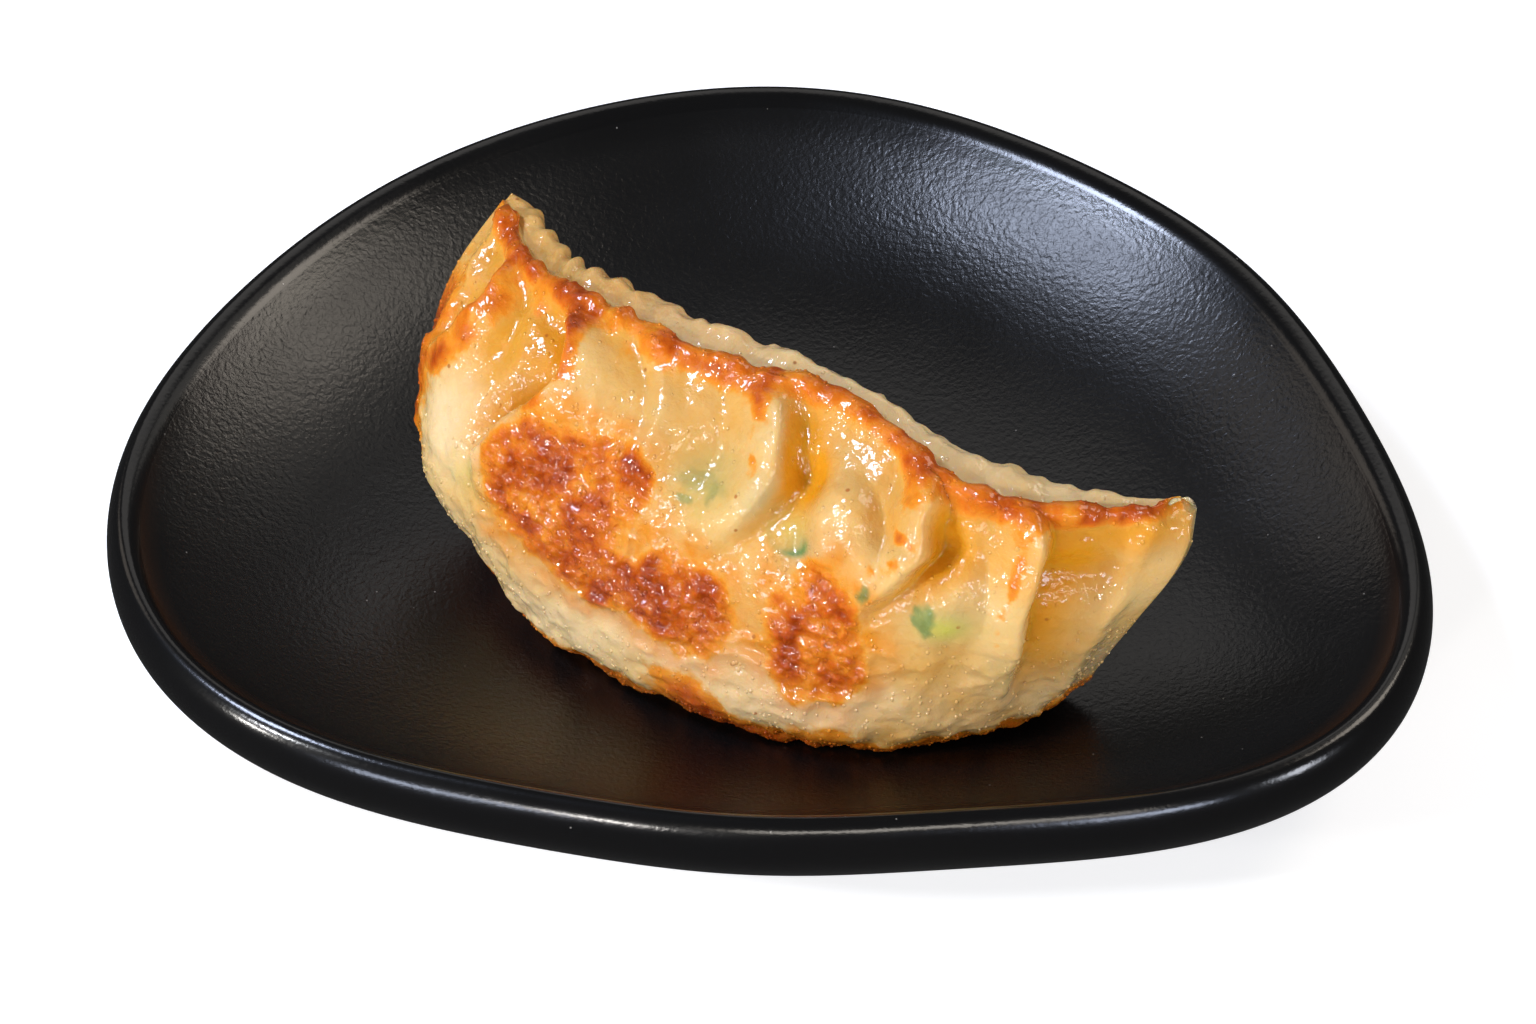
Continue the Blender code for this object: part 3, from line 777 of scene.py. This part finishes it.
def brown_field(m, crust, toast):
    """How brown the skin is, from 0 for raw dough to 1 for dark crust."""
    at = m.rings
    mottle = 0.67 + 0.60 * ripples(at, 2.6, 12, 3)
    lower = ease((m.way - 0.87 + 0.06 * ripples(at, 6, 15)) / 0.12)
    right_part = ease((m.x + 9) / 10) * (1 - ease((m.x - 12) / 10))
    start = 0.70 + 0.10 * ease((m.x + 2) / 10)
    deeper = ease((m.way - start + 0.07 * ripples(at, 6, 16)) / 0.14) * right_part * 0.80
    under = ease((-m.facing[..., 2] - 0.22 + 0.10 * ripples(at, 3.5, 17)) / 0.30)
    lower_rim = np.maximum(lower * (0.56 + 0.19 * right_part), deeper)
    lower_rim = np.maximum(lower_rim, 0.55 * under) * m.front
    left_rim = hump(m.s - 0.018, 0.042) * hump(m.way - 0.47, 0.26) * m.front
    left_rim = left_rim * (0.80 + 0.6 * ripples(at, 3, 18))
    reach = np.where(m.seam > 0, 0.9, smooth_curve(m.s, CREST_REACH))
    crest = np.exp(-(m.from_crest / reach) ** 3) * smooth_curve(m.s, CREST_BROWN)
    crest = np.minimum(crest * (0.74 + 0.75 * ripples(at, 3.0, 21, 3)), 0.80)
    base = m.base * (0.80 + 0.15 * ripples(at, 4, 31))
    low_back = m.back * hump(m.rings[..., 2], 3.0) * 0.6
    top = 1 - ease((m.down - 3) / 5)
    specks = ease((ripples(at, 2.6, 41, 3) + 0.22 + 0.5 * np.maximum(top, m.x < -36)) / 0.45)
    ridges = toast * specks * (0.66 + 0.7 * ripples(at, 3.2, 42, 2))
    tan_back = m.back * 0.30 * ease((ripples(at, 9, 32) + 0.05) / 0.45)
    everything = [crust * (mottle + 0.05), lower_rim, left_rim, crest, base, low_back, tan_back,
                  ridges]
    return np.clip(np.maximum.reduce(everything), 0, DARKEST)


def herb_field(m):
    """Where chopped greens show through the skin."""
    total = np.zeros(m.s.shape)
    ragged = 1.1 * ripples(m.rings, 1.5, 51)
    for green in GREENS:
        inside = m.spot(green.x, green.way, green.wide, green.tall) + ragged
        total = np.maximum(total, green.strength * ease(inside / 0.8))
    ring = hump(m.spot(*GREEN_RING) - 0.1, 0.42) * ease((m.down - 14.6) / 1.6)
    ring = ring * (0.25 + 0.75 * ease((m.x - 5.6) / 2.4))
    return np.maximum(total, ring) * m.front


def filling_field(m):
    """Where the skin is so sheer that the grey-green filling shows through."""
    upper = m.front * (1 - ease((m.way - 0.3) / 0.2))
    total = 0.3 * ease((ripples(m.rings, 9, 52) - 0.1) / 0.6) * upper
    for spot in FILLING_SPOTS:
        total = np.maximum(total, spot.strength * m.glow(spot.x, spot.way, spot.spread))
    return total


def thin_field(m, relief):
    """How golden the skin is: golden where it is sheer and fried through, and, as painted shade,
    where it lies low in the relief; pale elsewhere.
    """
    under_crest = hump(m.from_crest, 6.0) * m.front
    pale_low = ease((m.way - 0.58) / 0.2) * (1 - ease((m.x + 4) / 14)) + hump(m.s - 0.975, 0.03)
    seam = m.seam * (0.10 - 0.60 * ease((m.s - 0.35) / 0.3))
    # Painted shade: the - 0.20 * relief term makes recessed skin more golden and raised skin
    # paler.
    thin = (0.40 + 0.50 * ripples(m.rings, 8, 95) - 0.20 * relief + 0.45 * under_crest
            - 0.5 * pale_low + m.glows(THIN_SPOTS) + seam - 0.1 * m.back)
    return np.clip(thin, 0, 1)


def bubbly_field(m, crust, halo):
    """How thickly the blisters are strewn."""
    rim = ease((m.way - 0.84) / 0.08) * m.front
    lower = ease((m.way - 0.40) / 0.25) * m.front
    return np.maximum.reduce([rim, 0.55 * crust, 0.45 * halo, 0.5 * m.front * hump(m.s, 0.05),
                              0.30 * hump(m.from_crest, 3.0), 0.08 * m.front, 0.42 * lower])


def milky_field(m):
    """Where the skin is thick and hardly fried, so it stays milky white."""
    lower = 0.45 * ease((m.way - 0.58) / 0.2) * (0.6 + 0.8 * ripples(m.rings, 7, 53))
    pocket = (0.75 + 0.5 * ripples(m.rings, 4, 55)) * m.glow(-36.5, 0.42, 5.5)
    seam = 0.4 * m.seam * ease((m.s - 0.1) / 0.3) * (0.75 + 0.5 * ripples(m.rings, 5, 54))
    return np.clip(np.maximum(lower * m.front, pocket) + seam, 0, 1)


def set_on_plate(points):
    """Turn the mandu to its heading and bed its base on the curved floor."""
    x, y, z = np.moveaxis(points, -1, 0)
    turn_x, turn_y = cos(MANDU_HEADING), sin(MANDU_HEADING)
    world_x = MANDU_SPOT[0] + x * turn_x - y * turn_y
    world_y = MANDU_SPOT[1] + x * turn_y + y * turn_x
    outline, normal = rim_outline(steps=360)
    inner = outline - normal * LIP_WIDTH
    turn = np.arctan2(inner[:, 1], inner[:, 0])
    order = np.argsort(turn)
    edge = np.interp(np.arctan2(world_y, world_x), turn[order],
                     np.hypot(inner[:, 0], inner[:, 1])[order], period=2 * pi)
    floor = bowl_height(np.hypot(world_x, world_y) / edge)
    crest = smooth_curve(0.5, SEAM_Z)
    bedded = (1 - np.clip(z / crest, 0, 1)) ** 2
    lifted = FLOOR_HEIGHT + (floor - FLOOR_HEIGHT) * bedded + GAP + z
    return np.stack([world_x, world_y, lifted], -1)


def creases(points, size, seed):
    """Sharp little ridges about `size` apart: 1 on a ridge, 0 between."""
    return 1 - np.abs(2 * ripple(points, size, seed)).clip(0, 1)


def crimp_relief(m):
    """Uneven bumps along the folded seam."""
    at = m.rings
    strong = 0.35 + 0.65 * (1 - ease((m.s - 0.2) / 0.1))
    outer = hump(m.from_crest - 6.6, 3.6)
    teeth = np.cos(2 * pi * m.x / 3.4 + 5.0 * ripples(at, 8, 71))
    bumps = 0.36 * strong * outer * teeth + 1.10 * outer * ripples(at, 3.8, 72)
    waves = (0.9 * ripples(at, 9.0, 73) + 0.35 * ripples(at, 4.0, 74)) * ease(m.from_crest / 2.5)
    return (bumps + waves) * m.seam


def skin_relief(m, crust, halo, brown):
    """The finer relief: crest beads, wet wrinkles, crackled crust and a bumpy rim."""
    at = m.rings
    beads = 0.9 + 1.0 * ripples(at, 2.8, 61, 2)
    bead = hump(m.from_crest - 0.4, np.where(m.seam > 0, 0.9, 1.8)) * beads
    low = ease((m.way - 0.36) / 0.22)
    wrinkle = creases(at + 1.2 * ripples(at, 6, 84)[..., None], 3.0, 85)
    wet = m.front * (0.06 + 0.14 * low + 0.20 * halo) * (wrinkle - 0.5)
    pebbles = (m.front * (0.12 + 0.12 * low) + 0.20 * m.seam) * ripples(at, 1.9, 82, 2)
    soft = (m.front + m.back) * (0.24 + 0.16 * low) * ripples(at, 5.0, 81)
    soft += 0.9 * m.back * ease(m.from_crest / 12) * ripples(at, 12, 86, 2)
    edge = np.maximum(ease((m.way - 0.80) / 0.12), hump(m.s, 0.05))
    rim_bumps = m.front * 0.9 * edge * ripples(at, 2.3, 83, 2)
    near, next_near = nearest_seeds(at + 0.5 * ripples(at, 2, 90)[..., None], 1.45, 91)
    flakes = 0.40 * (0.5 - near) + 0.20 * ease((next_near - near) / 0.35)
    folds = 0.30 * (creases(at, 2.1, 93) - 0.5) + 0.14 * ripples(at, 1.0, 92, 2)
    browned = np.maximum(crust, 0.7 * brown * (1 - crust))
    crackle = (m.front + m.seam) * browned * (flakes * crust + folds)
    return bead + wet + pebbles + soft + rim_bumps + crackle


def curled_up(rings, place):
    """The base stays flat, and the two ends curl up from it."""
    curl = BASE_LIFT * np.abs(2 * place - 1) ** 6
    crest = smooth_curve(place, SEAM_Z)
    low = np.clip(1 - rings[..., 2] / crest[:, None], 0, 1)
    lifted = rings.copy()
    lifted[..., 2] = np.maximum(rings[..., 2], 0) + curl[:, None] * low
    return lifted


def build_mandu():
    """The skin of the mandu, folded, filled, fried and set on the plate."""
    m = Mandu()
    relief, roll, hollow, toast = pleat_fields(m)
    crust, halo = crust_fields(m)
    brown = brown_field(m, crust, toast)
    greens, lime = herb_field(m), np.clip(m.glows(LIME_SPOTS), 0, 1)
    sideways = np.gradient(m.rings, axis=0)
    sideways /= np.linalg.norm(sideways, axis=-1, keepdims=True) + 1e-9
    # Near its base the belly is fuller past the middle and tucks in at the left end.
    near_base = ease((m.way - 0.60) / 0.25) * m.front
    foot = near_base * (1.7 * hump(m.x - 8, 26) - 2.9 * hump(m.x + 40, 13))
    coarse = (relief + pocket_relief(m) + crimp_relief(m) + foot) * m.tips
    m.rings = raised(m.rings, coarse) + sideways * (roll * m.tips)[..., None]
    m.rings = raised(m.rings, skin_relief(m, crust, halo, brown) * m.tips)
    m.rings = curled_up(m.rings, m.place)

    skin = lofted("mandu_skin", set_on_plate(m.rings))
    # Painted shade on the top of the right flap, under the crest.
    right_flap_shade = 0.9 * hump(m.s - 0.955, 0.055) * hump(m.down - 5, 5) * m.front
    paint(skin, bubbly=bubbly_field(m, crust, halo), brown=brown,
          crust=np.maximum(crust, 0.5 * brown), halo=halo, hollow=np.maximum(hollow, right_flap_shade),
          green=greens, lime=lime, filling=filling_field(m), milky=milky_field(m),
          thin=thin_field(m, relief))
    skin.data.materials.append(dough_material("fried_dough", SKIN_TRANSLUCENCE))
    return skin


# ---- stage ----------------------------------------------------------------------------
def aim(obj, target):
    """Turns a light or camera towards a point."""
    direction = Vector(target) - obj.location
    obj.rotation_euler = direction.to_track_quat("-Z", "Y").to_euler()


def softbox(lamp):
    """A rectangular light, aimed at the middle of the plate."""
    data = bpy.data.lights.new(lamp.name, "AREA")
    data.shape = "RECTANGLE"
    data.size, data.size_y = lamp.size
    data.energy = lamp.power
    data.color = lamp.colour
    light = bpy.data.objects.new(lamp.name, data)
    bpy.context.scene.collection.objects.link(light)
    light.location = Vector(lamp.direction).normalized() * lamp.distance
    aim(light, (0, 0, 0.01))


def build_floor():
    """A plain pale floor that glows a little, so that it stays white."""
    mesh = bpy.data.meshes.new("floor")
    signs = ((-1, -1), (1, -1), (1, 1), (-1, 1))
    corners = [(FLOOR_REACH * x, FLOOR_REACH * y, 0) for x, y in signs]
    mesh.from_pydata(corners, [], [(0, 1, 2, 3)])
    floor = bpy.data.objects.new("floor", mesh)
    bpy.context.scene.collection.objects.link(floor)
    mat, tree, bsdf, place = new_material("pale_floor")
    tone = blend(tree, grain(tree, place, 400, 1), (0.90, 0.90, 0.90), (0.92, 0.92, 0.92))
    tree.links.new(tone, bsdf.inputs["Base Color"])
    bsdf.inputs["Roughness"].default_value = 0.9
    bsdf.inputs["Emission Color"].default_value = (1, 1, 1, 1)
    bsdf.inputs["Emission Strength"].default_value = FLOOR_GLOW
    mesh.materials.append(mat)
    floor.visible_glossy = False


def build_lights():
    """The lamps, and a dim room that looks pale behind the plate."""
    for lamp in LAMPS:
        softbox(lamp)
    world = bpy.data.worlds.new("studio")
    bpy.context.scene.world = world
    world.use_nodes = True
    tree = world.node_tree
    backdrop = tree.nodes["Background"]
    backdrop.inputs["Color"].default_value = (1, 1, 1, 1)
    seen = add(tree, "ShaderNodeLightPath", output="Is Camera Ray")
    strength = between(tree, seen, 0.0, 1.0, ROOM_LIGHT, BACKDROP_TONE)
    tree.links.new(strength, backdrop.inputs["Strength"])


def build_camera():
    """The camera looks down on the plate from in front."""
    target = Vector(CAMERA_TARGET) * MM
    away = Vector((0, -cos(CAMERA_ELEVATION), sin(CAMERA_ELEVATION)))
    data = bpy.data.cameras.new("camera")
    data.lens = 100
    data.sensor_width = 36
    camera = bpy.data.objects.new("camera", data)
    bpy.context.scene.collection.objects.link(camera)
    camera.location = target + away * CAMERA_DISTANCE
    aim(camera, target)
    bpy.context.scene.camera = camera


dish = build_dish()
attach(dish, "root")
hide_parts("plate")

skin = build_mandu()
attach(skin, "root")
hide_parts("mandu")

blisters = strew("oil_blisters", skin, dough_material("blistered_dough", 0.0), *BLISTERS)
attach(blisters, "root")

build_floor()
build_lights()
build_camera()
bpy.context.scene.view_settings.view_transform = "Standard"
